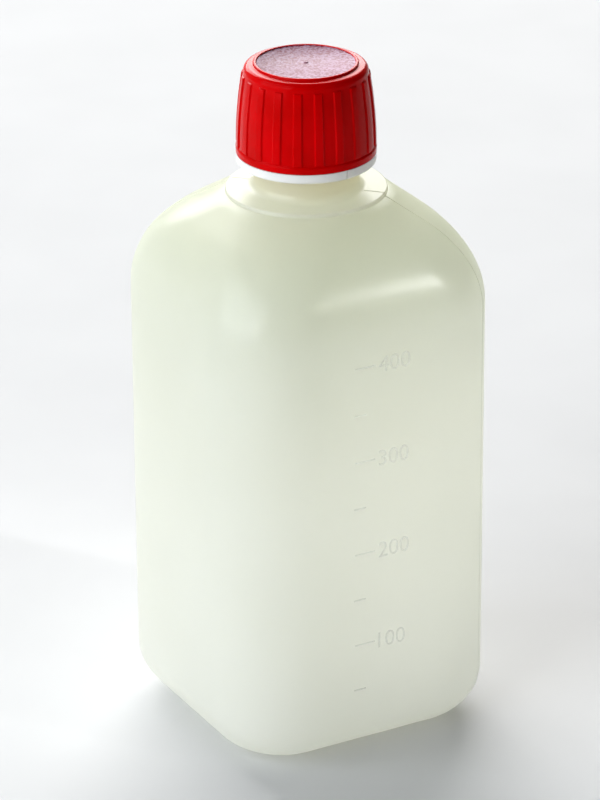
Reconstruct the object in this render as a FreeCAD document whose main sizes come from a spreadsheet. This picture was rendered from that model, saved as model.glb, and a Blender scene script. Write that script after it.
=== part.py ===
"""Square laboratory bottle of 500 ml with a ribbed screw cap, a sealing insert and a tamper-evident ring.

The bottle is blow-moulded in one piece: rounded square body, recessed base, sloped shoulder, round
collar, and a neck with a retaining bead. The cap screws onto the neck and carries a sealing insert in
its roof. The ring hangs under the cap on thin bridges, with its lugs below the neck's bead.

Frame: origin at the centre of the base, on the surface that the bottle stands on, +Z up, the side
walls square to X and Y. Lengths are in millimetres and angles in degrees.
"""

import FreeCAD
import Part
import Sketcher

import os
import sys

App = FreeCAD
Vector = App.Vector

SIZES = [
    # body
    ("side_width", 70.0),
    ("corner_radius", 18.6),
    ("heel_radius", 12.0),
    ("shoulder_height", 105.0),
    ("shoulder_radius", 25.0),
    ("shoulder_turn", 52.5),
    ("wall", 1.2),
    # recess in the base
    ("recess_width", 36.0),
    ("recess_corner_radius", 9.0),
    ("recess_depth", 2.0),
    ("recess_slope", 2.5),
    # collar between shoulder and neck
    ("collar_radius", 18.6),
    ("collar_thickness", 1.0),
    ("collar_ledge", 0.3),
    ("collar_edge_radius", 0.4),
    # neck
    ("neck_radius", 12.0),
    ("neck_height", 26.6),
    ("neck_root_radius", 2.0),
    ("bore_radius", 9.6),
    ("bore_root_radius", 1.5),
    ("lip_edge_radius", 0.5),
    ("bead_above_collar", 8.7),
    ("bead_projection", 1.4),
    ("bead_thickness", 1.0),
    ("bead_slope_height", 1.5),
    ("thread_height", 0.75),
    # cap
    ("cap_foot_above_collar", 8.5),
    ("cap_foot_radius", 16.1),
    ("cap_side_radius", 110.0),
    ("cap_brow_radius", 14.6),
    ("cap_brow_round", 2.0),
    ("cap_brow_drop", 1.7),
    ("cap_shelf_radius", 13.1),
    ("cap_roof", 1.75),
    ("thread_clearance", 0.35),
    ("rim_radius", 11.9),
    ("rim_width", 0.65),
    ("rim_height", 0.6),
    ("rim_round", 0.2),
    ("disc_drop", 0.35),
    ("gate_radius", 0.55),
    ("gate_height", 0.25),
    # flutes between the cap's grip ribs
    ("rib_count", 20),
    ("flute_angle", 10.4),
    ("flute_depth", 0.4),
    ("flute_foot_gap", 1.8),
    ("flute_head_gap", 0.4),
    # bead inside the cap that the sealing insert snaps behind
    ("snap_projection", 0.45),
    ("snap_height", 0.7),
    ("snap_play", 0.25),
    # sealing insert
    ("insert_thickness", 1.2),
    ("insert_clearance", 0.2),
    ("plug_clearance", 0.15),
    ("plug_depth", 4.0),
    ("plug_taper", 0.5),
    ("plug_wall", 1.0),
    ("plug_hollow", 0.4),
    # tamper-evident ring
    ("band_height", 2.2),
    ("band_gap", 0.1),
    ("band_set_back", 0.05),
    ("band_edge_radius", 0.6),
    ("sleeve_height", 3.0),
    ("sleeve_wall", 0.8),
    ("sleeve_clearance", 0.3),
    ("bead_clearance", 0.5),
    ("lug_count", 8),
    ("lug_angle", 24.0),
    ("lug_height", 1.3),
    ("lug_clearance", 0.5),
    ("bridge_count", 8),
    ("bridge_angle", 4.0),
    ("bridge_height", 0.3),
    ("notch_width", 0.35),
    ("notch_depth", 0.6),
    ("notch_azimuth", -84.0),
]

DEGREES = "(180 / pi)"

# Places and radii that several pieces share, as formulas of the sizes above.
HALF = "(Sizes.side_width / 2)"
SHOULDER_TOP_HALF = "(Sizes.collar_radius + Sizes.collar_ledge)"
TURN = "(Sizes.shoulder_turn * 1 deg)"
ARC_TOP_HALF = f"({HALF} - Sizes.shoulder_radius * (1 - cos({TURN})))"
ARC_TOP = f"(Sizes.shoulder_height + Sizes.shoulder_radius * sin({TURN}))"
COLLAR_FOOT = f"({ARC_TOP} + ({ARC_TOP_HALF} - {SHOULDER_TOP_HALF}) / tan({TURN}))"
COLLAR_TOP = f"({COLLAR_FOOT} + Sizes.collar_thickness)"
LIP = f"({COLLAR_TOP} + Sizes.neck_height)"
BEAD_FOOT = f"({COLLAR_TOP} + Sizes.bead_above_collar)"
BEAD_RADIUS = "(Sizes.neck_radius + Sizes.bead_projection)"
CAP_FOOT = f"({COLLAR_TOP} + Sizes.cap_foot_above_collar)"
CAP_BORE = "(Sizes.neck_radius + Sizes.thread_height + Sizes.thread_clearance)"
INSERT_TOP = f"({LIP} + Sizes.insert_thickness)"
DISC_FACE = f"({INSERT_TOP} + Sizes.cap_roof)"
RIM_TOP = f"({DISC_FACE} + Sizes.disc_drop)"
SHELF = f"({RIM_TOP} - Sizes.rim_height)"
BROW = f"({SHELF} - Sizes.cap_brow_drop)"
BAND_RADIUS = "(Sizes.cap_foot_radius - Sizes.band_set_back)"
BAND_TOP = f"({CAP_FOOT} - Sizes.band_gap)"
BAND_FOOT = f"({BAND_TOP} - Sizes.band_height)"
SLEEVE_BORE = f"({BEAD_RADIUS} + Sizes.bead_clearance)"
SLEEVE_RADIUS = f"({SLEEVE_BORE} + Sizes.sleeve_wall)"
SLEEVE_TOP = f"({BAND_TOP} + Sizes.sleeve_height)"
COUNTERBORE = f"({SLEEVE_RADIUS} + Sizes.sleeve_clearance)"
COUNTERBORE_TOP = f"({SLEEVE_TOP} + Sizes.bridge_height)"
NOTCH_ANGLE = f"({DEGREES} * Sizes.notch_width / {BAND_RADIUS})"

ARC_STATIONS = 4
# How far a cutting shape runs past the piece that it cuts.
OVERRUN = "1"
NEAR = 1e-4
ORIGIN = -1
AXIS_UP = -2
# A sketch counts the ends of a line or an arc from one.
START, END = range(1, 3)

doc = App.newDocument("square_bottle")


def make_sheet():
    """The spreadsheet that every size comes from."""
    sheet = doc.addObject("Spreadsheet::Sheet", "Sizes")
    for row, (name, value) in enumerate(SIZES, start=1):
        sheet.set(f"A{row}", name)
        sheet.set(f"B{row}", str(value))
        sheet.setAlias(f"B{row}", name)
    doc.recompute()
    return sheet


sizes = make_sheet()


def number(formula):
    """What a formula of the sheet's sizes gives, as a plain number."""
    value = sizes.evalExpression(formula)
    return float(getattr(value, "Value", value))


def new_body(name):
    body = doc.addObject("PartDesign::Body", name)
    body.Label = name
    return body


def origin_feature(body, role):
    return next(f for f in body.Origin.OriginFeatures if f.Role == role)


def new_sketch(body, name, plane):
    sketch = body.newObject("Sketcher::SketchObject", name)
    sketch.AttachmentSupport = [(origin_feature(body, plane), "")]
    sketch.MapMode = "FlatFace"
    return sketch


def bind(sketch, constraint, formula):
    """Adds a dimension to a sketch and ties it to a formula of the sheet's sizes."""
    index = sketch.addConstraint(constraint)
    sketch.setExpression(f"Constraints[{index}]", formula)


def rounded_square(body, name, half, corner, height):
    """A rounded square about the Z axis: its half width, corner radius and height are formulas."""
    sketch = new_sketch(body, name, "XY_Plane")
    sketch.setExpression("AttachmentOffset.Base.z", height)
    a, r = number(half), number(corner)
    turns = [App.Rotation(Vector(0, 0, 1), 90 * quarter) for quarter in range(4)]
    for turn in turns:
        side = Part.LineSegment(
            turn.multVec(Vector(a, -(a - r), 0)), turn.multVec(Vector(a, a - r, 0))
        )
        middle = Vector(a - r, a - r, 0) + Vector(r, r, 0) / 2**0.5
        ends = Vector(a, a - r, 0), Vector(a - r, a, 0)
        sketch.addGeometry(side)
        sketch.addGeometry(
            Part.Arc(turn.multVec(ends[0]), turn.multVec(middle), turn.multVec(ends[1]))
        )
    for quarter in range(4):
        side, arc, following = 2 * quarter, 2 * quarter + 1, (2 * quarter + 2) % 8
        sketch.addConstraint(Sketcher.Constraint("Tangent", side, END, arc, START))
        sketch.addConstraint(Sketcher.Constraint("Tangent", arc, END, following, START))
    for arc in (3, 5, 7):
        sketch.addConstraint(Sketcher.Constraint("Equal", 1, arc))
    sketch.addConstraint(Sketcher.Constraint("Vertical", 4))
    sketch.addConstraint(Sketcher.Constraint("Horizontal", 6))
    sketch.addConstraint(Sketcher.Constraint("Symmetric", 0, START, 0, END, ORIGIN))
    sketch.addConstraint(Sketcher.Constraint("Symmetric", 2, START, 2, END, AXIS_UP))
    bind(sketch, Sketcher.Constraint("Radius", 1, r), corner)
    bind(sketch, Sketcher.Constraint("DistanceX", ORIGIN, START, 0, START, a), half)
    bind(sketch, Sketcher.Constraint("DistanceY", ORIGIN, START, 2, START, a), half)
    return sketch


def half_section(body, name, corners, arcs=()):
    """A closed outline in the XZ plane through corners given as (radius, height) formulas.

    arcs maps the number of a side to the formula of its radius; such a side bulges to its right.
    """
    sketch = new_sketch(body, name, "XZ_Plane")
    arcs = dict(arcs)
    points = [Vector(number(r), number(z), 0) for r, z in corners]
    count = len(points)
    for side in range(count):
        a, b = points[side], points[(side + 1) % count]
        if side in arcs:
            radius = number(arcs[side])
            chord = b - a
            reach = (radius**2 - chord.Length**2 / 4) ** 0.5
            outward = Vector(chord.y, -chord.x, 0).normalize()
            middle = (a + b) / 2 + outward * (radius - reach)
            sketch.addGeometry(Part.Arc(a, middle, b))
        else:
            sketch.addGeometry(Part.LineSegment(a, b))
    # An arc is stored counter-clockwise, so the end that a corner takes is found by its place.
    ends = []
    for side in range(count):
        first = (sketch.getPoint(side, START) - points[side]).Length < NEAR
        ends.append((START, END) if first else (END, START))
    for side in range(count):
        following = (side + 1) % count
        sketch.addConstraint(
            Sketcher.Constraint("Coincident", side, ends[side][1], following, ends[following][0])
        )
    for side, (r, z) in enumerate(corners):
        point = points[side]
        if r == "0":
            sketch.addConstraint(Sketcher.Constraint("PointOnObject", side, ends[side][0], AXIS_UP))
        else:
            place = Sketcher.Constraint("DistanceX", ORIGIN, START, side, ends[side][0], point.x)
            bind(sketch, place, r)
        place = Sketcher.Constraint("DistanceY", ORIGIN, START, side, ends[side][0], point.y)
        bind(sketch, place, z)
    for side, radius in arcs.items():
        bind(sketch, Sketcher.Constraint("Radius", side, number(radius)), radius)
    return sketch


def revolve(body, name, kind, sketch, angle=None):
    """A Revolution or Groove of a sketch about Z, whole or over an angle centred on the sketch."""
    feature = body.newObject(f"PartDesign::{kind}", name)
    feature.Profile = sketch
    feature.ReferenceAxis = (sketch, ["V_Axis"])
    if angle:
        feature.Midplane = True
        feature.setExpression("Angle", angle)
    else:
        feature.Angle = 360.0
    sketch.Visibility = False
    return feature


def loft(body, name, kind, sketches):
    feature = body.newObject(f"PartDesign::{kind}", name)
    feature.Profile = sketches[0]
    feature.Sections = sketches[1:]
    return feature


def ring_pattern(body, name, feature, sketch, count):
    """Repeats a feature evenly about Z."""
    pattern = body.newObject("PartDesign::PolarPattern", name)
    pattern.Originals = [feature]
    pattern.Axis = (sketch, ["V_Axis"])
    pattern.Angle = 360.0
    pattern.setExpression("Occurrences", count)
    body.Tip = pattern
    return pattern


def round_edges(body, name, radius, chosen):
    """A Fillet of a radius formula on the tip's edges for which chosen(edge) is true."""
    doc.recompute()
    base = body.Tip
    names = [f"Edge{i + 1}" for i, edge in enumerate(base.Shape.Edges) if chosen(edge)]
    if not names:
        sys.exit(f"{name}: no edge to round")
    fillet = body.newObject("PartDesign::Fillet", name)
    fillet.Base = (base, names)
    fillet.setExpression("Radius", radius)
    return fillet


def at_height(height, radius=None):
    """Picks edges that lie level at a height, and on a circle of a radius about Z if one is given."""
    z = number(height)

    def chosen(edge):
        box = edge.BoundBox
        level = abs(box.ZMin - z) < NEAR and abs(box.ZMax - z) < NEAR
        if not level or radius is None:
            return level
        corner = edge.Vertexes[0]
        return abs(Vector(corner.X, corner.Y, 0).Length - number(radius)) < NEAR

    return chosen


def shoulder_stations(inset):
    """(half width, corner radius, height) of the shoulder's sections, from the walls to the collar.

    In side view the shoulder is an arc that leaves the wall upright and a straight slope that runs
    on from it. inset moves the whole surface inwards by a wall.
    """
    radius = f"(Sizes.shoulder_radius - {inset})"
    centre = f"({HALF} - Sizes.shoulder_radius)"
    angles = [f"({TURN} * {k} / {ARC_STATIONS})" for k in range(ARC_STATIONS + 1)]
    places = [
        (f"({centre} + {radius} * cos({angle}))", f"(Sizes.shoulder_height + {radius} * sin({angle}))")
        for angle in angles
    ]
    top = (
        f"({SHOULDER_TOP_HALF} - {inset} * cos({TURN}))",
        f"({COLLAR_FOOT} - {inset} * sin({TURN}))",
    )
    arc_top = places[-1]
    places.append((f"(({arc_top[0]} + {top[0]}) / 2)", f"(({arc_top[1]} + {top[1]}) / 2)"))
    places.append(top)
    wall_half = f"({HALF} - {inset})"
    wall_corner = f"(Sizes.corner_radius - {inset})"
    top_corner = f"({top[0]} - Sizes.collar_ledge)"
    for half, height in places:
        share = f"(({wall_half} - {half}) / ({wall_half} - {top[0]}))"
        corner = f"({wall_corner} + {share} * ({top_corner} - {wall_corner}))"
        yield half, corner, height


def blown_form(name, inset):
    """The bottle's body as a solid, without its neck: the outside, or the space inside its wall."""
    body = new_body(name)
    half = f"({HALF} - {inset})"
    corner = f"(Sizes.corner_radius - {inset})"
    floor = f"({inset})"
    lead = f"(Sizes.shoulder_radius / {ARC_STATIONS})"
    straight_top = f"(Sizes.shoulder_height - 2 * {lead})"

    outline = rounded_square(body, f"{name}_outline", half, corner, floor)
    walls = body.newObject("PartDesign::Pad", f"{name}_walls")
    walls.Profile = outline
    walls.setExpression("Length", f"{straight_top} - {floor}")
    round_edges(body, f"{name}_heel", f"Sizes.heel_radius - {inset}", at_height(floor))

    sections = [
        (half, corner, straight_top),
        (half, corner, f"(Sizes.shoulder_height - {lead})"),
        *shoulder_stations(inset),
    ]
    sketches = [
        rounded_square(body, f"{name}_section_{i}", *section) for i, section in enumerate(sections)
    ]
    loft(body, f"{name}_shoulder", "AdditiveLoft", sketches)

    mouth = rounded_square(
        body,
        f"{name}_recess_mouth",
        f"(Sizes.recess_width / 2 + {inset})",
        f"(Sizes.recess_corner_radius + {inset})",
        floor,
    )
    ceiling = rounded_square(
        body,
        f"{name}_recess_ceiling",
        f"(Sizes.recess_width / 2 - Sizes.recess_slope + {inset})",
        f"(Sizes.recess_corner_radius - Sizes.recess_slope + {inset})",
        f"({floor} + Sizes.recess_depth)",
    )
    loft(body, f"{name}_recess", "SubtractiveLoft", [mouth, ceiling])
    return body


def make_bottle():
    """One blow-moulded piece: the outside form with collar and neck, less the space inside."""
    outside = blown_form("outside", "0")
    neck = half_section(
        outside,
        "neck_profile",
        [
            ("0", f"{COLLAR_FOOT} - Sizes.collar_thickness"),
            ("Sizes.collar_radius", f"{COLLAR_FOOT} - Sizes.collar_thickness"),
            ("Sizes.collar_radius", COLLAR_TOP),
            ("Sizes.neck_radius", COLLAR_TOP),
            ("Sizes.neck_radius", BEAD_FOOT),
            (BEAD_RADIUS, BEAD_FOOT),
            (BEAD_RADIUS, f"{BEAD_FOOT} + Sizes.bead_thickness"),
            ("Sizes.neck_radius", f"{BEAD_FOOT} + Sizes.bead_thickness + Sizes.bead_slope_height"),
            ("Sizes.neck_radius", LIP),
            ("0", LIP),
        ],
    )
    revolve(outside, "neck", "Revolution", neck)
    round_edges(
        outside, "collar_edge", "Sizes.collar_edge_radius", at_height(COLLAR_TOP, "Sizes.collar_radius")
    )
    round_edges(outside, "neck_root", "Sizes.neck_root_radius", at_height(COLLAR_TOP, "Sizes.neck_radius"))
    round_edges(outside, "lip_edge", "Sizes.lip_edge_radius", at_height(LIP, "Sizes.neck_radius"))

    inside = blown_form("inside", "Sizes.wall")
    roof = f"({COLLAR_FOOT} - Sizes.wall * sin({TURN}))"
    bore = half_section(
        inside,
        "bore_profile",
        [
            ("0", f"{roof} - {OVERRUN}"),
            ("Sizes.bore_radius", f"{roof} - {OVERRUN}"),
            ("Sizes.bore_radius", f"{LIP} + {OVERRUN}"),
            ("0", f"{LIP} + {OVERRUN}"),
        ],
    )
    revolve(inside, "bore", "Revolution", bore)
    round_edges(inside, "bore_root", "Sizes.bore_root_radius", at_height(roof, "Sizes.bore_radius"))

    bottle = doc.addObject("Part::Cut", "bottle")
    bottle.Label = "bottle"
    bottle.Base = outside
    bottle.Tool = inside
    return bottle


def cap_side_point(height):
    """Radius of the cap's side at a height, as a formula: a point of the arc from foot to brow."""
    rise = f"({BROW} - {CAP_FOOT})"
    draw_in = "(Sizes.cap_foot_radius - Sizes.cap_brow_radius)"
    chord = f"sqrt({rise} ^ 2 + {draw_in} ^ 2)"
    reach = f"sqrt(Sizes.cap_side_radius ^ 2 - {chord} ^ 2 / 4)"
    centre_r = f"((Sizes.cap_foot_radius + Sizes.cap_brow_radius) / 2 - {reach} * {rise} / {chord})"
    centre_z = f"(({CAP_FOOT} + {BROW}) / 2 - {reach} * {draw_in} / {chord})"
    return f"({centre_r} + sqrt(Sizes.cap_side_radius ^ 2 - ({height} - {centre_z}) ^ 2))"


def make_cap():
    """The ribbed screw cap: shelf and raised rim on top, twenty ribs between flutes, open below."""
    cap = new_body("screw_cap")
    rim_bore = "(Sizes.rim_radius - Sizes.rim_width)"
    outline = half_section(
        cap,
        "cap_profile",
        [
            ("0", INSERT_TOP),
            (CAP_BORE, INSERT_TOP),
            (CAP_BORE, COUNTERBORE_TOP),
            (COUNTERBORE, COUNTERBORE_TOP),
            (COUNTERBORE, CAP_FOOT),
            ("Sizes.cap_foot_radius", CAP_FOOT),
            ("Sizes.cap_brow_radius", BROW),
            ("Sizes.cap_shelf_radius", SHELF),
            ("Sizes.rim_radius", SHELF),
            ("Sizes.rim_radius", RIM_TOP),
            (rim_bore, RIM_TOP),
            (rim_bore, DISC_FACE),
            ("Sizes.gate_radius", DISC_FACE),
            ("Sizes.gate_radius", f"{DISC_FACE} + Sizes.gate_height"),
            ("0", f"{DISC_FACE} + Sizes.gate_height"),
        ],
        arcs={5: "Sizes.cap_side_radius", 6: "Sizes.cap_brow_round"},
    )
    revolve(cap, "shell", "Revolution", outline)
    round_edges(cap, "rim_outer_edge", "Sizes.rim_round", at_height(RIM_TOP, "Sizes.rim_radius"))
    round_edges(cap, "rim_inner_edge", "Sizes.rim_round", at_height(RIM_TOP, rim_bore))

    snap_top = f"({LIP} - Sizes.snap_play)"
    snap = half_section(
        cap,
        "snap_profile",
        [
            (f"{CAP_BORE} + Sizes.snap_projection", f"{snap_top} - Sizes.snap_height"),
            (CAP_BORE, f"{snap_top} - Sizes.snap_height"),
            (f"{CAP_BORE} - Sizes.snap_projection", f"{snap_top} - Sizes.snap_height / 2"),
            (CAP_BORE, snap_top),
            (f"{CAP_BORE} + Sizes.snap_projection", snap_top),
        ],
    )
    revolve(cap, "snap_bead", "Revolution", snap)

    foot = f"({CAP_FOOT} + Sizes.flute_foot_gap)"
    head = f"({BROW} - Sizes.flute_head_gap)"
    flute_profile = half_section(
        cap,
        "flute_profile",
        [
            (f"{cap_side_point(foot)} - Sizes.flute_depth", foot),
            (f"{cap_side_point(head)} - Sizes.flute_depth", head),
            (f"{cap_side_point(head)} + {OVERRUN}", head),
            (f"{cap_side_point(foot)} + {OVERRUN}", foot),
        ],
        arcs={0: "Sizes.cap_side_radius"},
    )
    flute = revolve(cap, "flute", "Groove", flute_profile, angle="Sizes.flute_angle")
    ring_pattern(cap, "flutes", flute, flute_profile, "Sizes.rib_count")
    return cap


def make_insert():
    """The sealing insert: a disc on the neck's lip and a tapered plug ring inside its bore."""
    insert = new_body("sealing_insert")
    disc = f"({CAP_BORE} - Sizes.insert_clearance)"
    plug = "(Sizes.bore_radius - Sizes.plug_clearance)"
    outline = half_section(
        insert,
        "insert_profile",
        [
            ("0", INSERT_TOP),
            ("0", f"{LIP} + Sizes.plug_hollow"),
            (f"{plug} - Sizes.plug_wall", f"{LIP} + Sizes.plug_hollow"),
            (f"{plug} - Sizes.plug_taper - Sizes.plug_wall", f"{LIP} - Sizes.plug_depth"),
            (f"{plug} - Sizes.plug_taper", f"{LIP} - Sizes.plug_depth"),
            (plug, LIP),
            (disc, LIP),
            (disc, INSERT_TOP),
        ],
    )
    revolve(insert, "disc_and_plug", "Revolution", outline)
    return insert


def make_ring():
    """The tamper-evident ring: band, sleeve inside the cap, lugs, break-off bridges, tear notch."""
    ring = new_body("tamper_ring")
    outline = half_section(
        ring,
        "ring_profile",
        [
            (SLEEVE_BORE, BAND_FOOT),
            (BAND_RADIUS, BAND_FOOT),
            (BAND_RADIUS, BAND_TOP),
            (SLEEVE_RADIUS, BAND_TOP),
            (SLEEVE_RADIUS, SLEEVE_TOP),
            (SLEEVE_BORE, SLEEVE_TOP),
        ],
    )
    revolve(ring, "band_and_sleeve", "Revolution", outline)
    round_edges(ring, "band_edge", "Sizes.band_edge_radius", at_height(BAND_FOOT, BAND_RADIUS))

    lug_profile = half_section(
        ring,
        "lug_profile",
        [
            ("Sizes.neck_radius + Sizes.lug_clearance", BAND_FOOT),
            (f"{SLEEVE_BORE} + Sizes.sleeve_wall / 2", BAND_FOOT),
            (f"{SLEEVE_BORE} + Sizes.sleeve_wall / 2", f"{BAND_FOOT} + Sizes.lug_height"),
            ("Sizes.neck_radius + Sizes.lug_clearance", f"{BAND_FOOT} + Sizes.lug_height"),
        ],
    )
    lug = revolve(ring, "lug", "Revolution", lug_profile, angle="Sizes.lug_angle")
    ring_pattern(ring, "lugs", lug, lug_profile, "Sizes.lug_count")

    bridge_profile = half_section(
        ring,
        "bridge_profile",
        [
            (SLEEVE_BORE, f"{SLEEVE_TOP} - Sizes.bridge_height"),
            (SLEEVE_RADIUS, f"{SLEEVE_TOP} - Sizes.bridge_height"),
            (SLEEVE_RADIUS, COUNTERBORE_TOP),
            (SLEEVE_BORE, COUNTERBORE_TOP),
        ],
    )
    bridge = revolve(ring, "bridge", "Revolution", bridge_profile, angle="Sizes.bridge_angle")
    ring_pattern(ring, "bridges", bridge, bridge_profile, "Sizes.bridge_count")

    notch_profile = half_section(
        ring,
        "notch_profile",
        [
            (f"{BAND_RADIUS} - Sizes.notch_depth", f"{BAND_FOOT} - {OVERRUN}"),
            (f"{BAND_RADIUS} + {OVERRUN}", f"{BAND_FOOT} - {OVERRUN}"),
            (f"{BAND_RADIUS} + {OVERRUN}", f"{BAND_TOP} + Sizes.band_gap / 2"),
            (f"{BAND_RADIUS} - Sizes.notch_depth", f"{BAND_TOP} + Sizes.band_gap / 2"),
        ],
    )
    turned = App.Rotation(Vector(0, 1, 0), number("Sizes.notch_azimuth"))
    notch_profile.AttachmentOffset = App.Placement(Vector(), turned)
    revolve(ring, "tear_notch", "Groove", notch_profile, angle=NOTCH_ANGLE)
    return ring


def check(thing):
    """Stops the build if a piece is not one sound solid."""
    shape = thing.Shape
    if shape.isNull() or not shape.isValid() or len(shape.Solids) != 1 or shape.Volume <= 0:
        sys.exit(f"{thing.Label}: the shape is not one sound solid")
    box = shape.BoundBox
    print(
        f"{thing.Label}: {shape.Volume / 1000:.3f} cm3, {len(shape.Faces)} faces,"
        f" x {box.XMin:.2f}..{box.XMax:.2f} y {box.YMin:.2f}..{box.YMax:.2f}"
        f" z {box.ZMin:.3f}..{box.ZMax:.3f}"
    )


def main():
    pieces = [make_bottle(), make_cap(), make_insert(), make_ring()]
    doc.recompute()
    failed = [o.Name for o in doc.Objects if {"Invalid", "Error"} & set(o.State)]
    if failed:
        sys.exit(f"these features failed: {', '.join(failed)}")
    os.makedirs("parts", exist_ok=True)
    for piece in pieces:
        check(piece)
        piece.Shape.exportStep(f"parts/{piece.Label}.step")


main()
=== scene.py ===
"""Looks of a square laboratory bottle with a red ribbed screw cap and a white tamper-evident ring."""

import math

import bmesh
import bpy
from mathutils import Matrix, Vector


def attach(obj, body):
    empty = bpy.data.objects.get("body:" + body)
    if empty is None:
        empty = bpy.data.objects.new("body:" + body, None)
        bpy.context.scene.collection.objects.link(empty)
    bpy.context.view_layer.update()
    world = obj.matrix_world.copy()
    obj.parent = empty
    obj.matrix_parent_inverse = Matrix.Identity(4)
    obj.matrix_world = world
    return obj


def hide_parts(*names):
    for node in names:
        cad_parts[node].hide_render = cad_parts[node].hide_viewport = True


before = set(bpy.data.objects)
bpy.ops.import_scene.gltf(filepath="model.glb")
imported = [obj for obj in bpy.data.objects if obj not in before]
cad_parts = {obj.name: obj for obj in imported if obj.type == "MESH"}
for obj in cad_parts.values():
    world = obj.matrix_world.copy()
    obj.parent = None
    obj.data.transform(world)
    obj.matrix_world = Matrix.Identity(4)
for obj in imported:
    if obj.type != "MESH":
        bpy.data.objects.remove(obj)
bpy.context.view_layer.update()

MM = 0.001
UP = Vector((0, 0, 1))

# Sizes of the solids, in millimetres.
SIDE_HALF = 35.0
CORNER_RADIUS = 18.6
HEEL_RADIUS = 12.0
SHOULDER_HEIGHT = 105.0
SHOULDER_RADIUS = 25.0
SHOULDER_TURN = 52.5
WALL = 1.2
COLLAR_FOOT = 129.683
COLLAR_TOP = 130.683
COLLAR_RADIUS = 18.6
COLLAR_LEDGE = 0.3
NECK_RADIUS = 12.0
BORE_RADIUS = 9.6
LIP = 157.283
BEAD_FOOT = 139.383
BEAD_RADIUS = 13.4
RECESS_CENTRE = 9.0
RECESS_DEPTH = 2.0
CAP_FOOT = 139.183
CAP_FOOT_RADIUS = 16.1
CAP_BROW_RADIUS = 14.6
CAP_BROW = 158.283
CAP_SIDE_RADIUS = 110.0
CAP_BORE_RADIUS = 13.1
CAP_SKIRT_BORE = 15.0
CAP_SKIRT_TOP = 142.383
INSERT_TOP = 158.483
SHELF = 159.983
SHELF_RADIUS = 13.1
DISC_FACE = 160.233
RIM_TOP = 160.583
RIM_RADIUS = 11.9
RIM_BORE_RADIUS = 11.25

# Sizes of what only the look has, in millimetres and degrees.
RIB_FOOT = CAP_FOOT + 1.8
RIB_HEAD = CAP_BROW - 0.4
RIB_HEIGHT = 0.35
RIB_PITCH = 18
RIB_HALF_WIDTH = 4
CAP_SEGMENTS = 360
GATE_RADIUS = 0.55
THREAD_PITCH = 4.0
THREAD_HEIGHT = 0.7
THREAD_SINK = 0.1
NECK_THREAD_FOOT = 144.2
NECK_THREAD_TURNS = 2.0
CAP_THREAD_FOOT = 146.2
CAP_THREAD_TURNS = 1.75
TICK_THICKNESS = 0.36
LONG_TICK = (-7.1, -1.8)
SHORT_TICK = (-7.35, -4.2)
NUMBER_LEFT = -0.9
NUMBER_SIZE = 5.6
PARTING_LINE_RADIUS = 0.12


def start_piece(name):
    """Names the primitive that was just added and opens it for editing."""
    piece = bpy.context.active_object
    piece.name = name
    piece.data.name = name
    bpy.ops.object.mode_set(mode="EDIT")
    bpy.ops.mesh.select_mode(type="VERT")
    return piece


def close_piece(piece, smooth_angle=35):
    """Leaves edit mode and shades the piece smooth up to an angle, with its place in its mesh."""
    bpy.ops.object.mode_set(mode="OBJECT")
    bpy.ops.object.select_all(action="DESELECT")
    piece.select_set(True)
    bpy.context.view_layer.objects.active = piece
    bpy.ops.object.transform_apply(location=True, rotation=True, scale=True)
    bpy.ops.object.shade_smooth_by_angle(angle=math.radians(smooth_angle))


def pick(piece, wanted, kind="verts"):
    """Selects the vertices, edges or faces that wanted(element) names, and nothing else."""
    mesh = bmesh.from_edit_mesh(piece.data)
    bpy.ops.mesh.select_all(action="DESELECT")
    for element in getattr(mesh, kind):
        if wanted(element):
            element.select_set(True)
    mesh.select_flush_mode()
    bmesh.update_edit_mesh(piece.data)


def recalculate(piece):
    """Merges doubled vertices and turns every face outwards."""
    bpy.ops.mesh.select_all(action="SELECT")
    bpy.ops.mesh.remove_doubles(threshold=0.002 * MM)
    bpy.ops.mesh.normals_make_consistent(inside=False)


# A level section of the bottle is a rounded square, given as (arc centre, arc radius, height).


def heel_rows(arc_centre, foot_radius, heel_radius, floor, steps):
    """The rounded heel's sections, from the floor up to the straight wall."""
    for step in range(steps + 1):
        turn = math.radians(90 * step / steps)
        reach = foot_radius + heel_radius * math.sin(turn)
        yield arc_centre, reach, floor + heel_radius * (1 - math.cos(turn))


def shoulder_rows(inset, steps):
    """The shoulder's sections from the straight wall up, for a surface that lies inset inwards."""
    radius = SHOULDER_RADIUS - inset
    top_half = COLLAR_RADIUS + COLLAR_LEDGE - inset * math.cos(math.radians(SHOULDER_TURN))
    top_height = COLLAR_FOOT - inset * math.sin(math.radians(SHOULDER_TURN))
    wall_half = SIDE_HALF - inset
    sections = []
    for step in range(steps + 1):
        turn = math.radians(SHOULDER_TURN * step / steps)
        half = SIDE_HALF - SHOULDER_RADIUS + radius * math.cos(turn)
        sections.append((half, SHOULDER_HEIGHT + radius * math.sin(turn)))
    arc_end = sections[-1]
    for share in (0.25, 0.5, 0.75, 1.0):
        half = arc_end[0] + share * (top_half - arc_end[0])
        sections.append((half, arc_end[1] + share * (top_height - arc_end[1])))
    for half, height in sections:
        share = (wall_half - half) / (wall_half - top_half)
        wall_corner = CORNER_RADIUS - inset
        corner = wall_corner + share * (top_half - COLLAR_LEDGE - wall_corner)
        yield half - corner, corner, height


def fillet_rows(centre, radius, first, last, steps):
    """Sections of a surface of revolution along an arc: centre is (radius, height), angles in degrees."""
    for step in range(steps + 1):
        turn = math.radians(first + (last - first) * step / steps)
        yield 0.0, centre[0] + radius * math.cos(turn), centre[1] + radius * math.sin(turn)


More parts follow.
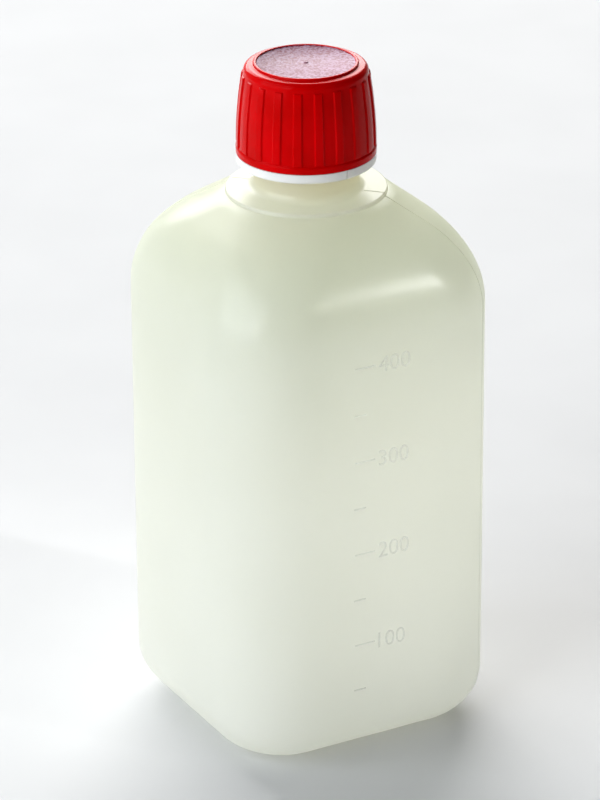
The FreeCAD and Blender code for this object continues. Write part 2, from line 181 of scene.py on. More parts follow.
def bottle_rows():
    """Every section of the bottle in order: recess, heel, walls, shoulder, neck, and back inside."""
    flat = CORNER_RADIUS - HEEL_RADIUS
    arc_centre = SIDE_HALF - CORNER_RADIUS
    yield RECESS_CENTRE, 6.0, RECESS_DEPTH
    yield RECESS_CENTRE, 6.7, RECESS_DEPTH - 0.12
    yield RECESS_CENTRE, 8.6, 0.22
    yield RECESS_CENTRE, 9.3, 0.0
    yield from heel_rows(arc_centre, flat, HEEL_RADIUS, 0.0, 16)
    for height in range(20, 105, 8):
        yield arc_centre, CORNER_RADIUS, float(height)
    yield from shoulder_rows(0.0, 14)
    yield 0.0, COLLAR_RADIUS + 0.05, COLLAR_FOOT + 0.05
    yield 0.0, COLLAR_RADIUS, COLLAR_FOOT + 0.15
    yield from fillet_rows((COLLAR_RADIUS - 0.4, COLLAR_TOP - 0.4), 0.4, 0, 90, 5)
    yield from fillet_rows((NECK_RADIUS + 2, COLLAR_TOP + 2), 2.0, 270, 180, 8)
    yield 0.0, NECK_RADIUS, BEAD_FOOT - 0.3
    yield 0.0, NECK_RADIUS, BEAD_FOOT
    yield 0.0, BEAD_RADIUS - 0.15, BEAD_FOOT
    yield 0.0, BEAD_RADIUS, BEAD_FOOT + 0.15
    yield 0.0, BEAD_RADIUS, BEAD_FOOT + 0.95
    yield 0.0, BEAD_RADIUS - 0.1, BEAD_FOOT + 1.1
    yield 0.0, NECK_RADIUS + 0.1, BEAD_FOOT + 2.4
    yield 0.0, NECK_RADIUS, BEAD_FOOT + 2.6
    yield 0.0, NECK_RADIUS, LIP - 6
    yield from fillet_rows((NECK_RADIUS - 0.5, LIP - 0.5), 0.5, 0, 90, 5)
    yield from fillet_rows((BORE_RADIUS + 0.25, LIP - 0.25), 0.25, 90, 180, 3)
    yield 0.0, BORE_RADIUS, LIP - 8
    yield 0.0, BORE_RADIUS, LIP - 16
    roof = COLLAR_FOOT - WALL * math.sin(math.radians(SHOULDER_TURN))
    yield from fillet_rows((BORE_RADIUS + 1.5, roof + 1.5), 1.5, 180, 270, 6)
    yield from reversed(list(shoulder_rows(WALL, 10)))
    for height in range(92, 12, -16):
        yield arc_centre, CORNER_RADIUS - WALL, float(height)
    yield from reversed(list(heel_rows(arc_centre, flat, HEEL_RADIUS - WALL, WALL, 8)))
    yield RECESS_CENTRE, 10.4, WALL
    yield RECESS_CENTRE, 9.8, WALL + 0.2
    yield RECESS_CENTRE, 7.9, WALL + RECESS_DEPTH - 0.2
    yield RECESS_CENTRE, 7.3, WALL + RECESS_DEPTH


def make_bottle():
    """A quarter of the shell, pulled up row by row from the recess and back down inside, then mirrored."""
    rows = list(bottle_rows())
    arc_steps = 24
    bpy.ops.object.select_all(action="DESELECT")
    centre, radius, height = rows[0]
    bpy.ops.mesh.primitive_circle_add(
        vertices=4 * arc_steps, radius=radius * MM, location=(0, 0, height * MM)
    )
    shell = start_piece("bottle_shell")
    bpy.ops.object.mode_set(mode="OBJECT")
    bpy.ops.object.transform_apply(location=True, rotation=False, scale=False)
    bpy.ops.object.mode_set(mode="EDIT")
    pick(shell, lambda v: v.co.x < -1e-6 or v.co.y < -1e-6)
    bpy.ops.mesh.delete(type="VERT")
    bpy.ops.mesh.select_all(action="SELECT")
    bpy.ops.transform.translate(value=(centre * MM, centre * MM, 0))
    # The two ends reach the planes of symmetry along the flat sides.
    for axis in (0, 1):
        flat = (centre + radius) * MM
        pick(
            shell,
            lambda v: abs(v.co[axis] - flat) < 1e-8 and abs(v.co[1 - axis] - centre * MM) < 1e-8,
        )
        move = Vector((0, 0, 0))
        move[1 - axis] = -centre * MM
        bpy.ops.mesh.extrude_region_move(TRANSFORM_OT_translate={"value": move})
    bpy.ops.mesh.select_all(action="SELECT")
    for old, new in zip(rows, rows[1:]):
        pull_row(shell, old, new)
    close_floor(shell, rows)
    bpy.ops.object.mode_set(mode="OBJECT")
    mirror = shell.modifiers.new("other quarters", "MIRROR")
    mirror.use_axis = (True, True, False)
    mirror.use_clip = True
    mirror.merge_threshold = 0.004 * MM
    bpy.ops.object.modifier_apply(modifier=mirror.name)
    bpy.ops.object.mode_set(mode="EDIT")
    recalculate(shell)
    close_piece(shell, 40)
    return shell


def pull_row(shell, old, new):
    """Extrudes the last row of the quarter shell and fits it to the next section."""
    (old_centre, old_radius, old_height), (new_centre, new_radius, new_height) = old, new
    bpy.ops.mesh.extrude_region_move(
        TRANSFORM_OT_translate={"value": (0, 0, (new_height - old_height) * MM)}
    )
    mesh = bmesh.from_edit_mesh(shell.data)
    row = [v for v in mesh.verts if v.select]
    ends = [[v for v in row if abs(v.co[axis]) < 1e-9] for axis in (0, 1)]
    for vertex in ends[0] + ends[1]:
        vertex.select_set(False)
    scale = new_radius / old_radius
    bpy.ops.transform.resize(
        value=(scale, scale, 1), center_override=(old_centre * MM, old_centre * MM, 0)
    )
    shift = (new_centre - old_centre) * MM
    bpy.ops.transform.translate(value=(shift, shift, 0))
    growth = (new_centre + new_radius - old_centre - old_radius) * MM
    for axis, end in enumerate(ends):
        bpy.ops.mesh.select_all(action="DESELECT")
        for vertex in end:
            vertex.select_set(True)
        move = Vector((0, 0, 0))
        move[1 - axis] = growth
        bpy.ops.transform.translate(value=move)
    for vertex in row:
        vertex.select_set(True)
    mesh.select_flush_mode()


def close_floor(shell, rows):
    """Draws the first and last rows in to the axis, which closes the recess and the floor above it."""
    for height in (rows[0][2], rows[-1][2]):
        pick(
            shell,
            lambda e: all(abs(v.co.z - height * MM) < 1e-7 for v in e.verts)
            and max(v.co.xy.length for v in e.verts) < 24 * MM,
            "edges",
        )
        bpy.ops.mesh.extrude_region_move()
        bpy.ops.transform.resize(value=(0, 0, 1), center_override=(0, 0, height * MM))


def ring_rows(piece, rows):
    """Pulls a round piece out of its selected open edge loop, through sections of (radius, height)."""
    for (old_radius, old_height), (new_radius, new_height) in zip(rows, rows[1:]):
        bpy.ops.mesh.extrude_region_move(
            TRANSFORM_OT_translate={"value": (0, 0, (new_height - old_height) * MM)}
        )
        scale = new_radius / old_radius
        bpy.ops.transform.resize(value=(scale, scale, 1), center_override=(0, 0, 0))


def cap_side(height):
    """Radius of the cap's bulged side at a height."""
    rise = CAP_BROW - CAP_FOOT
    draw_in = CAP_FOOT_RADIUS - CAP_BROW_RADIUS
    chord = math.hypot(rise, draw_in)
    reach = math.sqrt(CAP_SIDE_RADIUS**2 - chord**2 / 4)
    centre_r = (CAP_FOOT_RADIUS + CAP_BROW_RADIUS) / 2 - reach * rise / chord
    centre_z = (CAP_FOOT + CAP_BROW) / 2 - reach * draw_in / chord
    return centre_r + math.sqrt(CAP_SIDE_RADIUS**2 - (height - centre_z) ** 2)


def cap_rows():
    """The cap's sections, (radius, height): out over rim, shelf and brow, down the side, up inside."""
    rows = [(GATE_RADIUS, DISC_FACE + 0.02), (RIM_BORE_RADIUS - 0.12, DISC_FACE)]
    rows += [(RIM_BORE_RADIUS, DISC_FACE + 0.1), (RIM_BORE_RADIUS, RIM_TOP - 0.2)]
    rows += [(RIM_BORE_RADIUS + 0.06, RIM_TOP - 0.06), (RIM_BORE_RADIUS + 0.2, RIM_TOP)]
    rows += [(RIM_RADIUS - 0.2, RIM_TOP), (RIM_RADIUS - 0.06, RIM_TOP - 0.06)]
    rows += [(RIM_RADIUS, RIM_TOP - 0.2), (RIM_RADIUS, SHELF + 0.12), (RIM_RADIUS + 0.12, SHELF)]
    rows += [(SHELF_RADIUS - 0.35, SHELF)]
    # The brow turns from the level shelf to the side's slope.
    brow_steps = 8
    side_slope = (cap_side(CAP_BROW - 0.5) - cap_side(CAP_BROW)) / 0.5
    for step in range(brow_steps + 1):
        share = step / brow_steps
        turn = share * (math.pi / 2 - math.atan(side_slope))
        radius = SHELF_RADIUS - 0.1 + (CAP_BROW_RADIUS - 0.2 - SHELF_RADIUS) * math.sin(turn)
        rows.append((radius, CAP_BROW + (SHELF - CAP_BROW) * math.cos(turn)))
    heights = [RIB_HEAD + 0.15] + [RIB_HEAD + (RIB_FOOT - RIB_HEAD) * k / 10 for k in range(11)]
    rows += [(cap_side(height) - RIB_HEIGHT, height) for height in heights]
    heights = [RIB_FOOT - 0.3, RIB_FOOT - 0.6, CAP_FOOT + 0.3, CAP_FOOT + 0.1]
    rows += [(cap_side(height), height) for height in heights]
    rows += [(CAP_FOOT_RADIUS - 0.12, CAP_FOOT), (CAP_SKIRT_BORE + 0.1, CAP_FOOT)]
    rows += [(CAP_SKIRT_BORE, CAP_FOOT + 0.1), (CAP_SKIRT_BORE, CAP_SKIRT_TOP)]
    rows += [(CAP_BORE_RADIUS, CAP_SKIRT_TOP), (CAP_BORE_RADIUS, LIP - 0.95)]
    # A small bead in the bore holds the insert in the roof.
    rows += [(CAP_BORE_RADIUS - 0.45, LIP - 0.6), (CAP_BORE_RADIUS, LIP - 0.25)]
    rows += [(CAP_BORE_RADIUS, INSERT_TOP), (0.3, INSERT_TOP)]
    return rows


def make_cap():
    """The cap in one piece, pulled out of the edge of its disc, with the gate's stub and the ribs."""
    rows = cap_rows()
    bpy.ops.object.select_all(action="DESELECT")
    bpy.ops.mesh.primitive_circle_add(
        vertices=CAP_SEGMENTS, radius=rows[0][0] * MM, location=(0, 0, 0), fill_type="NOTHING"
    )
    cap = start_piece("ribbed_cap")
    bpy.ops.mesh.select_all(action="SELECT")
    bpy.ops.transform.translate(value=(0, 0, rows[0][1] * MM))
    ring_rows(cap, rows)
    # The roof's underside closes on the axis.
    bpy.ops.mesh.extrude_region_move()
    bpy.ops.transform.resize(value=(0, 0, 1), center_override=(0, 0, 0))
    # The gate's stub stands in the middle of the disc.
    pick(cap, lambda e: e.is_boundary and e.verts[0].co.xy.length > 0.1 * MM, "edges")
    bpy.ops.mesh.extrude_region_move(TRANSFORM_OT_translate={"value": (0, 0, 0.2 * MM)})
    bpy.ops.transform.resize(value=(0.8, 0.8, 1), center_override=(0, 0, 0))
    bpy.ops.mesh.extrude_region_move(TRANSFORM_OT_translate={"value": (0, 0, 0.04 * MM)})
    bpy.ops.transform.resize(value=(0.5, 0.5, 1), center_override=(0, 0, 0))
    bpy.ops.mesh.extrude_region_move()
    bpy.ops.transform.resize(value=(0, 0, 1), center_override=(0, 0, 0))
    recalculate(cap)
    raise_ribs(cap)
    close_piece(cap, 50)
    return cap


def raise_ribs(cap):
    """Raises the twenty grip ribs out of the cap's side and rounds their edges."""
    outside = 14 * MM

    def in_rib(face):
        middle = face.calc_center_median()
        if not RIB_FOOT * MM < middle.z < RIB_HEAD * MM or middle.xy.length < outside:
            return False
        azimuth = math.degrees(math.atan2(middle.y, middle.x)) % RIB_PITCH
        return not RIB_HALF_WIDTH < azimuth < RIB_PITCH - RIB_HALF_WIDTH

    bpy.ops.mesh.select_mode(type="FACE")
    pick(cap, in_rib, "faces")
    bpy.ops.mesh.inset(thickness=0.2 * MM, depth=RIB_HEIGHT * MM)
    bpy.ops.mesh.select_mode(type="EDGE")
    bpy.ops.mesh.select_all(action="DESELECT")
    bpy.ops.mesh.edges_select_sharp(sharpness=math.radians(25))
    mesh = bmesh.from_edit_mesh(cap.data)
    for edge in mesh.edges:
        low, high = sorted(v.co.z / MM for v in edge.verts)
        on_rib = RIB_FOOT - 0.1 < low and high < RIB_HEAD + 0.1
        if not on_rib or edge.verts[0].co.xy.length < outside:
            edge.select_set(False)
    bmesh.update_edit_mesh(cap.data)
    bpy.ops.mesh.bevel(offset=0.09 * MM, segments=3, affect="EDGES")
    bpy.ops.mesh.select_mode(type="VERT")


def helix_ridge(name, root, crest, foot, turns):
    """A screw thread's ridge about Z: a trapezoid section from root to crest, swept up at the pitch."""
    bpy.ops.object.select_all(action="DESELECT")
    bpy.ops.mesh.primitive_plane_add(size=1, location=(0, 0, 0))
    ridge = start_piece(name)
    mesh = bmesh.from_edit_mesh(ridge.data)
    section = [(root, -0.9), (root, 0.9), (crest, 0.45), (crest, -0.45)]
    corners = sorted(mesh.verts, key=lambda v: math.atan2(v.co.y, v.co.x))
    for vertex, (radius, height) in zip(corners, section):
        vertex.co = Vector((radius, 0, foot + height)) * MM
    bmesh.update_edit_mesh(ridge.data)
    bpy.ops.mesh.select_all(action="SELECT")
    bpy.ops.mesh.delete(type="ONLY_FACE")
    bpy.ops.object.mode_set(mode="OBJECT")
    screw = ridge.modifiers.new("helix", "SCREW")
    screw.angle = 2 * math.pi * turns
    screw.screw_offset = THREAD_PITCH * MM * turns
    screw.steps = screw.render_steps = int(96 * turns)
    screw.use_smooth_shade = True
    bpy.ops.object.modifier_apply(modifier=screw.name)
    bpy.ops.object.mode_set(mode="EDIT")
    run_out_ends(ridge, root, foot, turns)
    recalculate(ridge)
    close_piece(ridge, 40)
    return ridge


def run_out_ends(ridge, root, foot, turns):
    """Runs both ends of a thread out into the wall over a few degrees and closes them."""
    run_out = 7
    for end, sign in ((0, -1), (turns, 1)):
        middle = foot + THREAD_PITCH * end

        def at_end(edge):
            if not edge.is_boundary:
                return False
            place = (edge.verts[0].co + edge.verts[1].co) / 2
            return abs(place.z - middle * MM) < 1.2 * MM

        pick(ridge, at_end, "edges")
        for shrink in (0.55, 0.1):
            bpy.ops.mesh.extrude_region_move(
                TRANSFORM_OT_translate={"value": (0, 0, sign * THREAD_PITCH * run_out / 360 * MM)}
            )
            turn_about_axis(ridge, sign * math.radians(run_out))
            flatten_towards(ridge, root, shrink)
        bpy.ops.mesh.edge_face_add()


def turn_about_axis(piece, angle):
    """Turns the selected vertices about the bottle's axis."""
    mesh = bmesh.from_edit_mesh(piece.data)
    chosen = [v for v in mesh.verts if v.select]
    bmesh.ops.rotate(mesh, verts=chosen, cent=(0, 0, 0), matrix=Matrix.Rotation(angle, 3, "Z"))
    bmesh.update_edit_mesh(piece.data)


def flatten_towards(piece, root, share):
    """Draws the selected section's crest back towards its root radius."""
    mesh = bmesh.from_edit_mesh(piece.data)
    for vertex in mesh.verts:
        if vertex.select:
            radius = vertex.co.xy.length
            wanted = root * MM + (radius - root * MM) * share
            vertex.co.xy = vertex.co.xy * (wanted / radius)
    bmesh.update_edit_mesh(piece.data)


def mark_height(millilitres):
    """Height of a graduation on the wall that faces -Y."""
    empty_height, height_per_millilitre = 6.46, 0.2321
    return empty_height + height_per_millilitre * millilitres


def raise_tick(name, first, last, height):
    """One raised line of the scale: a bar half sunk into the wall, its edges rounded."""
    bpy.ops.object.select_all(action="DESELECT")
    bpy.ops.mesh.primitive_cube_add(
        size=1, location=((first + last) / 2 * MM, -SIDE_HALF * MM, height * MM)
    )
    tick = start_piece(name)
    bpy.ops.mesh.select_all(action="SELECT")
    bpy.ops.transform.resize(
        value=((last - first) * MM, 0.2 * MM, TICK_THICKNESS * MM),
        center_override=((first + last) / 2 * MM, -SIDE_HALF * MM, height * MM),
    )
    bpy.ops.mesh.bevel(offset=0.07 * MM, segments=2, affect="EDGES")
    recalculate(tick)
    close_piece(tick, 50)
    return tick


def raise_number(name, words, left, height):
    """A number in thin raised strokes, centred on its line of the scale."""
    bpy.ops.object.select_all(action="DESELECT")
    bpy.ops.object.text_add(location=(0, 0, 0))
    number = bpy.context.active_object
    number.name = name
    number.data.body = words
    number.data.size = NUMBER_SIZE * MM
    number.data.extrude = 0.05 * MM
    number.data.bevel_depth = 0.05 * MM
    number.data.bevel_resolution = 1
    number.data.offset = -0.08 * MM
    bpy.ops.object.convert(target="MESH")
    corners = [v.co.copy() for v in number.data.vertices]
    low = [min(c[k] for c in corners) for k in range(2)]
    high = [max(c[k] for c in corners) for k in range(2)]
    number.rotation_euler = (math.pi / 2, 0, 0)
    number.location = (
        left * MM - low[0],
        -SIDE_HALF * MM,
        height * MM - (low[1] + high[1]) / 2,
    )
    number.data.name = name
    bpy.ops.object.mode_set(mode="EDIT")
    recalculate(number)
    close_piece(number, 50)
    return number


def trace_parting_line(shell):
    """The mould's parting line: the outer edges on the shell's diagonal plane, copied and thickened."""
    middle = UP * SIDE_HALF * 2 * MM
    bpy.ops.object.select_all(action="DESELECT")
    shell.select_set(True)
    bpy.context.view_layer.objects.active = shell
    bpy.ops.object.mode_set(mode="EDIT")
    bpy.ops.mesh.select_mode(type="EDGE")

    def on_diagonal(edge):
        return all(
            abs(v.co.x + v.co.y) < 1e-6
            and 0.3 * MM < v.co.z < (COLLAR_TOP + 0.1) * MM
            and v.normal.dot(v.co - middle) > 0
            for v in edge.verts
        )

    pick(shell, on_diagonal, "edges")
    bpy.ops.mesh.duplicate()
    bpy.ops.mesh.separate(type="SELECTED")
    bpy.ops.mesh.select_mode(type="VERT")
    bpy.ops.object.mode_set(mode="OBJECT")
    line = next(o for o in bpy.context.selected_objects if o != shell)
    bpy.ops.object.select_all(action="DESELECT")
    line.select_set(True)
    bpy.context.view_layer.objects.active = line
    line.name = "parting_line"
    bpy.ops.object.convert(target="CURVE")
    line = bpy.context.active_object
    line.data.bevel_depth = PARTING_LINE_RADIUS * MM
    line.data.bevel_resolution = 1
    line.data.use_fill_caps = True
    bpy.ops.object.convert(target="MESH")
    line = bpy.context.active_object
    line.data.name = "parting_line"
    return line


# Materials


def new_finish(name):
    """A new material with its node tree and its shader."""
    finish = bpy.data.materials.new(name)
    finish.use_nodes = True
    shader = finish.node_tree.nodes["Principled BSDF"]
    return finish, finish.node_tree, shader


def grain(tree, scale, detail=4.0):
    """Noise laid over a piece in its own coordinates, scale in patches per millimetre."""
    place = tree.nodes.new("ShaderNodeTexCoord")
    noise = tree.nodes.new("ShaderNodeTexNoise")
    noise.inputs["Scale"].default_value = scale / MM
    noise.inputs["Detail"].default_value = detail
    tree.links.new(place.outputs["Object"], noise.inputs["Vector"])
    return noise


def tint(tree, noise, dark, light, low=0.35, high=0.65):
    """A colour that runs from dark to light with a noise."""
    ramp = tree.nodes.new("ShaderNodeValToRGB")
    ramp.color_ramp.elements[0].position = low
    ramp.color_ramp.elements[0].color = (*dark, 1)
    ramp.color_ramp.elements[1].position = high
    ramp.color_ramp.elements[1].color = (*light, 1)
    tree.links.new(noise.outputs["Fac"], ramp.inputs["Fac"])
    return ramp


def add_bump(tree, shader, noise, distance, strength):
    """Dents a finish by a noise, to a depth in millimetres."""
    bump = tree.nodes.new("ShaderNodeBump")
    bump.inputs["Strength"].default_value = strength
    bump.inputs["Distance"].default_value = distance * MM
    tree.links.new(noise.outputs["Fac"], bump.inputs["Height"])
    tree.links.new(bump.outputs["Normal"], shader.inputs["Normal"])


def vary_roughness(tree, shader, noise, low, high):
    """Spreads a finish's roughness from low to high by a noise."""
    spread = tree.nodes.new("ShaderNodeMapRange")
    spread.inputs["To Min"].default_value = low
    spread.inputs["To Max"].default_value = high
    tree.links.new(noise.outputs["Fac"], spread.inputs["Value"])
    tree.links.new(spread.outputs["Result"], shader.inputs["Roughness"])


def height_shades(tree, stops):
    """A colour that changes with height, from (height in millimetres, colour) stops."""
    place = tree.nodes.new("ShaderNodeTexCoord")
    axes = tree.nodes.new("ShaderNodeSeparateXYZ")
    span = tree.nodes.new("ShaderNodeMapRange")
    span.inputs["From Min"].default_value = 0
    span.inputs["From Max"].default_value = LIP * MM
    ramp = tree.nodes.new("ShaderNodeValToRGB")
    while len(ramp.color_ramp.elements) < len(stops):
        ramp.color_ramp.elements.new(1.0)
    for element, (height, colour) in zip(ramp.color_ramp.elements, stops):
        element.position = height / LIP
        element.color = (*colour, 1)
    tree.links.new(place.outputs["Object"], axes.inputs["Vector"])
    tree.links.new(axes.outputs["Z"], span.inputs["Value"])
    tree.links.new(span.outputs["Result"], ramp.inputs["Fac"])
    return ramp


def let_light_through(tree, shader, colour, share):
    """Mixes a milky glow from the light behind the surface into a finish."""
    glow = tree.nodes.new("ShaderNodeBsdfTranslucent")
    tree.links.new(colour, glow.inputs["Color"])
    mix = tree.nodes.new("ShaderNodeMixShader")
    mix.inputs["Fac"].default_value = share
    tree.links.new(shader.outputs["BSDF"], mix.inputs[1])
    tree.links.new(glow.outputs["BSDF"], mix.inputs[2])
    tree.links.new(mix.outputs["Shader"], tree.nodes["Material Output"].inputs["Surface"])


def clouded(tree, shades, clouds):
    """A colour with faint clouds in it, as in a blown wall."""
    blend = tree.nodes.new("ShaderNodeMix")
    blend.data_type = "RGBA"
    blend.blend_type = "MULTIPLY"
    blend.inputs["Factor"].default_value = 1.0
    tree.links.new(shades.outputs["Color"], blend.inputs["A"])
    tree.links.new(clouds.outputs["Color"], blend.inputs["B"])
    return blend.outputs["Result"]


def natural_polyethylene():
    """Milky translucent plastic with no colour added: satin, yellower where the wall is thick at the neck,
    with painted shade by height: darker up to the shoulder, paler low down and on the collar's top.
    """
    finish, tree, shader = new_finish("natural_polyethylene")
    # Painted shade by height: the face darkens up to the shoulder and is paler near the floor, where the
    # floor's light comes in, and the collar's top is painted lighter; the neck's yellow stands for its
    # thicker wall.
    face = height_shades(
        tree,
        [
            (0, (0.97, 0.98, 0.97)),
            (60, (0.95, 0.965, 0.955)),
            (95, (0.92, 0.935, 0.915)),
            (122, (0.87, 0.89, 0.82)),
            (129.6, (0.87, 0.88, 0.80)),
            (130.4, (0.90, 0.90, 0.85)),
            (132, (0.95, 0.93, 0.82)),
        ],
    )
    # The glow's colour carries the same painted shade by height, and the neck's deeper yellow for its
    # thick wall.
    depth = height_shades(
        tree,
        [
            (0, (1.0, 1.0, 0.97)),
            (30, (1.0, 1.0, 0.96)),
            (80, (0.975, 0.975, 0.925)),
            (105, (0.95, 0.955, 0.90)),
            (122, (0.935, 0.945, 0.855)),
            (129.6, (0.92, 0.925, 0.82)),
            (130.4, (0.95, 0.94, 0.87)),
            (134, (0.99, 0.955, 0.80)),
        ],
    )
    clouds = tint(tree, grain(tree, 0.03, 3.0), (0.985, 0.985, 0.98), (1.0, 1.0, 1.0))
    tree.links.new(clouded(tree, face, clouds), shader.inputs["Base Color"])
    shader.inputs["IOR"].default_value = 2.2
    satin = grain(tree, 0.9, 5.0)
    vary_roughness(tree, shader, satin, 0.26, 0.34)
    add_bump(tree, shader, satin, 0.02, 0.35)
    let_light_through(tree, shader, clouded(tree, depth, clouds), 0.7)
    return finish


def raised_polyethylene():
    """The raised figures: the wall shows through them, and their faces are painted a little paler, a
    painted highlight for the light their edges catch.
    """
    finish, tree, shader = new_finish("raised_figures")
    clouds = grain(tree, 0.4, 3.0)
    # Painted highlight: the figures' colour is paler than the wall's to stand for the light they catch.
    shade = tint(tree, clouds, (0.97, 0.98, 0.95), (1.0, 1.0, 0.99))
    tree.links.new(shade.outputs["Color"], shader.inputs["Base Color"])
    shader.inputs["IOR"].default_value = 2.2
    shader.inputs["Alpha"].default_value = 0.22
    vary_roughness(tree, shader, clouds, 0.14, 0.2)
    return finish


def red_plastic():
    """The cap's glossy red."""
    finish, tree, shader = new_finish("red_cap_plastic")
    flow = grain(tree, 0.12, 3.0)
    shade = tint(tree, flow, (0.56, 0.0, 0.0), (0.66, 0.0, 0.001))
    tree.links.new(shade.outputs["Color"], shader.inputs["Base Color"])
    shader.inputs["IOR"].default_value = 1.5
    shader.inputs["Specular IOR Level"].default_value = 0.08
    shader.inputs["Specular Tint"].default_value = (1.0, 0.3, 0.3, 1)
    skin = grain(tree, 0.8, 4.0)
    vary_roughness(tree, shader, skin, 0.12, 0.18)
    add_bump(tree, shader, skin, 0.01, 0.25)
    return finish


def eroded_red_plastic():
    """The cap's disc, matt from a spark-eroded mould; the pale pink flecks in its red are a painted
    sparkle, glints of light off the pits.
    """
    finish, tree, shader = new_finish("spark_eroded_red")
    pits_and_painted_glints = grain(tree, 1.7, 6.0)
    # Painted sparkle: the dark red is the plastic's own colour, the pale pink flecks stand for glints of
    # the light off the pits.
    shade = tint(tree, pits_and_painted_glints, (0.23, 0.02, 0.06), (0.48, 0.29, 0.41), 0.42, 0.58)
    tree.links.new(shade.outputs["Color"], shader.inputs["Base Color"])
    shader.inputs["Specular IOR Level"].default_value = 0.3
    vary_roughness(tree, shader, pits_and_painted_glints, 0.35, 0.6)
    add_bump(tree, shader, pits_and_painted_glints, 0.12, 1.0)
    return finish


def white_plastic(name, light, rough):
    """An opaque white that lets a little light in under its surface."""
    finish, tree, shader = new_finish(name)
    flow = grain(tree, 0.2, 3.0)
    dark = tuple(0.96 * c for c in light)
    shade = tint(tree, flow, dark, light)
    tree.links.new(shade.outputs["Color"], shader.inputs["Base Color"])
    shader.inputs["IOR"].default_value = 1.5
    shader.inputs["Subsurface Weight"].default_value = 0.25
    shader.inputs["Subsurface Radius"].default_value = (1.0, 1.0, 0.9)
    shader.inputs["Subsurface Scale"].default_value = 1 * MM
    skin = grain(tree, 2.0, 4.0)
    vary_roughness(tree, shader, skin, rough - 0.05, rough + 0.06)
    add_bump(tree, shader, skin, 0.012, 0.3)
    return finish


def floor_finish():
    """A plain pale surface with almost no gloss."""
    finish, tree, shader = new_finish("pale_floor")
    flow = grain(tree, 0.02, 2.0)
    shade = tint(tree, flow, (0.71, 0.71, 0.715), (0.73, 0.73, 0.735))
    tree.links.new(shade.outputs["Color"], shader.inputs["Base Color"])
    shader.inputs["Roughness"].default_value = 0.5
    shader.inputs["Specular IOR Level"].default_value = 0.02
    return finish


def dress(piece, finish, body):
    """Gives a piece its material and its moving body."""
    piece.data.materials.clear()
    piece.data.materials.append(finish)
    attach(piece, body)


# The object

polyethylene = natural_polyethylene()
raised = raised_polyethylene()
red = red_plastic()
eroded = eroded_red_plastic()
ring_white = white_plastic("white_ring_plastic", (0.94, 0.93, 0.92), 0.25)
insert_white = white_plastic("insert_white", (0.84, 0.84, 0.80), 0.4)

bottle = make_bottle()
dress(bottle, polyethylene, "bottle_body")
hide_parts("bottle")

cap = make_cap()
dress(cap, red, "cap_body")
cap.data.materials.append(eroded)
for face in cap.data.polygons:
    if face.center.z > (DISC_FACE - 0.05) * MM and face.center.xy.length < RIM_BORE_RADIUS * MM:
        face.material_index = 1
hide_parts("screw_cap")

dress(trace_parting_line(bottle), polyethylene, "bottle_body")

neck_thread = helix_ridge(
    "neck_thread",
    NECK_RADIUS - THREAD_SINK,
    NECK_RADIUS + THREAD_HEIGHT,
    NECK_THREAD_FOOT,
    NECK_THREAD_TURNS,
)
dress(neck_thread, polyethylene, "bottle_body")

cap_thread = helix_ridge(
    "cap_thread",
    CAP_BORE_RADIUS + THREAD_SINK,
    CAP_BORE_RADIUS - THREAD_HEIGHT,
    CAP_THREAD_FOOT,
    CAP_THREAD_TURNS,
)
dress(cap_thread, red, "cap_body")

for volume in (100, 200, 300, 400):
    tick = raise_tick(f"tick_{volume}", *LONG_TICK, mark_height(volume))
    dress(tick, raised, "bottle_body")
    number = raise_number(f"number_{volume}", str(volume), NUMBER_LEFT, mark_height(volume))
    dress(number, raised, "bottle_body")
for volume in (50, 150, 250, 350):
    tick = raise_tick(f"tick_{volume}", *SHORT_TICK, mark_height(volume))
    dress(tick, raised, "bottle_body")

for node, finish in (("tamper_ring", ring_white), ("sealing_insert", insert_white)):
    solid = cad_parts[node]
    solid.data.materials.clear()
    solid.data.materials.append(finish)

# Floor, lights and camera

bpy.ops.object.select_all(action="DESELECT")
bpy.ops.mesh.primitive_plane_add(size=6, location=(0, 0, 0))
floor = bpy.context.active_object
floor.name = "floor"
floor.data.materials.append(floor_finish())


def add_softbox(name, place, aim, width, height, power, colour=(1, 1, 1)):
    """A rectangular lamp at a place, in metres, that faces its aim."""
    bpy.ops.object.light_add(type="AREA", location=place)
    lamp = bpy.context.active_object
    lamp.name = name
    lamp.data.shape = "RECTANGLE"
    lamp.data.size = width
    lamp.data.size_y = height
    lamp.data.energy = power
    lamp.data.color = colour
    lamp.rotation_euler = (place - Vector(aim)).to_track_quat("Z", "Y").to_euler()


VIEW_AZIMUTH = math.radians(-28.83)


def in_view(across, towards, height):
    """A point given across the picture to the right, towards the camera, and up, in metres."""
    right = Vector((math.cos(VIEW_AZIMUTH), math.sin(VIEW_AZIMUTH), 0))
    front = Vector((math.sin(VIEW_AZIMUTH), -math.cos(VIEW_AZIMUTH), 0))
    return right * across + front * towards + UP * height


def add_snoot(name, place, aim, cone, radius, power):
    """A lamp held to a narrow cone, in degrees, with a soft edge."""
    bpy.ops.object.light_add(type="SPOT", location=place)
    lamp = bpy.context.active_object
    lamp.name = name
    lamp.data.spot_size = math.radians(cone)
    lamp.data.spot_blend = 1.0
    lamp.data.shadow_soft_size = radius
    lamp.data.energy = power
    lamp.rotation_euler = (place - Vector(aim)).to_track_quat("Z", "Y").to_euler()


add_softbox("window_behind", in_view(-0.6, -3.2, 2.0), (0, 0, 0.08), 3.8, 2.4, 212.0)
add_softbox("window_left", in_view(-1.6, 0.9, 0.9), (0, 0, 0.08), 2.2, 2.0, 34.0, (0.84, 0.92, 1.0))
add_softbox("strip_left", in_view(-0.72, 1.08, 0.55), (0, 0, 0.1), 0.3, 0.3, 1.4)
add_snoot("shoulder_light", in_view(1.08, 0.53, 0.57), (0.033, -0.033, 0.078), 5.0, 0.05, 42.0)


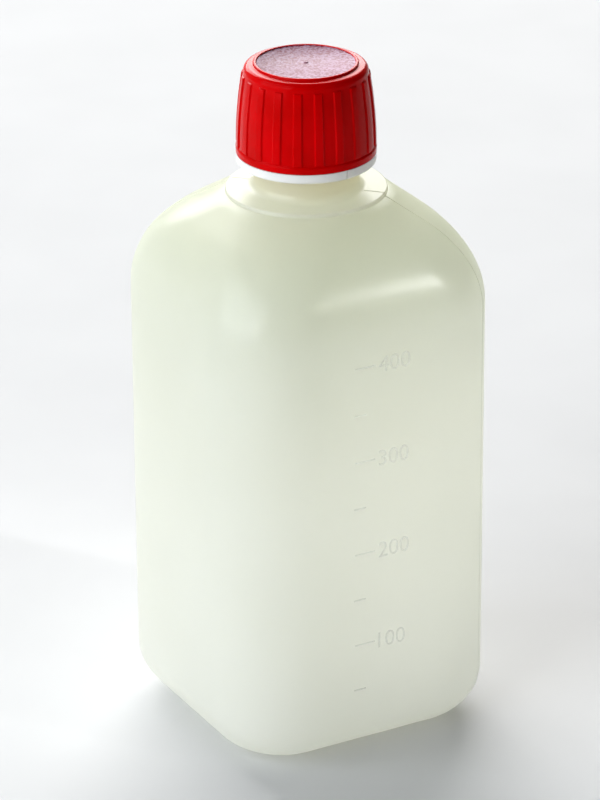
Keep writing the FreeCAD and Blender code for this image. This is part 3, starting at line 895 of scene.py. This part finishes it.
def hang_room_light():
    """Soft light from all round, cool and bright on the left, warm and dim high on the right."""
    world = bpy.data.worlds.new("studio")
    bpy.context.scene.world = world
    world.use_nodes = True
    tree = world.node_tree
    room = tree.nodes["Background"]
    direction = tree.nodes.new("ShaderNodeTexCoord")
    towards_dim = tree.nodes.new("ShaderNodeVectorMath")
    towards_dim.operation = "DOT_PRODUCT"
    towards_dim.inputs[1].default_value = in_view(0.85, 0.45, 0.3).normalized()
    room_ramp = tree.nodes.new("ShaderNodeValToRGB")
    stops = [
        (0.0, (0.45, 0.46, 0.47)),
        (0.4, (0.43, 0.43, 0.41)),
        (0.6, (0.21, 0.20, 0.17)),
        (0.8, (0.04, 0.04, 0.035)),
    ]
    while len(room_ramp.color_ramp.elements) < len(stops):
        room_ramp.color_ramp.elements.new(1.0)
    for element, (position, colour) in zip(room_ramp.color_ramp.elements, stops):
        element.position = position
        element.color = (*colour, 1)
    to_share = tree.nodes.new("ShaderNodeMapRange")
    to_share.inputs["From Min"].default_value = -1
    to_share.inputs["From Max"].default_value = 1
    seen = tree.nodes.new("ShaderNodeBackground")
    seen.inputs["Color"].default_value = (0.90, 0.91, 0.94, 1)
    rays = tree.nodes.new("ShaderNodeLightPath")
    choice = tree.nodes.new("ShaderNodeMixShader")
    tree.links.new(direction.outputs["Generated"], towards_dim.inputs[0])
    tree.links.new(towards_dim.outputs["Value"], to_share.inputs["Value"])
    tree.links.new(to_share.outputs["Result"], room_ramp.inputs["Fac"])
    tree.links.new(room_ramp.outputs["Color"], room.inputs["Color"])
    tree.links.new(rays.outputs["Is Camera Ray"], choice.inputs["Fac"])
    tree.links.new(room.outputs["Background"], choice.inputs[1])
    tree.links.new(seen.outputs["Background"], choice.inputs[2])
    tree.links.new(choice.outputs["Shader"], tree.nodes["World Output"].inputs["Surface"])


hang_room_light()


def place_camera():
    """The photograph's own view, from the corner between the -X and -Y walls."""
    elevation, roll = math.radians(24.18), math.radians(-0.31)
    distance, target_height, target_shift, focal_px = 1031.8, 76.72, -1.73, 4418.35
    right = in_view(1, 0, 0)
    back = in_view(0, math.cos(elevation), math.sin(elevation))
    upward = back.cross(right)
    rolled_right = math.cos(roll) * right + math.sin(roll) * upward
    rolled_up = -math.sin(roll) * right + math.cos(roll) * upward
    target = UP * target_height * MM + right * target_shift * MM
    bpy.ops.object.camera_add(location=(0, 0, 0))
    camera = bpy.context.active_object
    camera.name = "photo_camera"
    turn = Matrix((rolled_right, rolled_up, back)).transposed().to_4x4()
    camera.matrix_world = Matrix.Translation(target + back * distance * MM) @ turn
    camera.data.sensor_width = 36
    camera.data.lens = focal_px / 800 * 36
    camera.data.clip_end = 20
    bpy.context.scene.camera = camera


place_camera()
bpy.context.scene.view_settings.view_transform = "Standard"
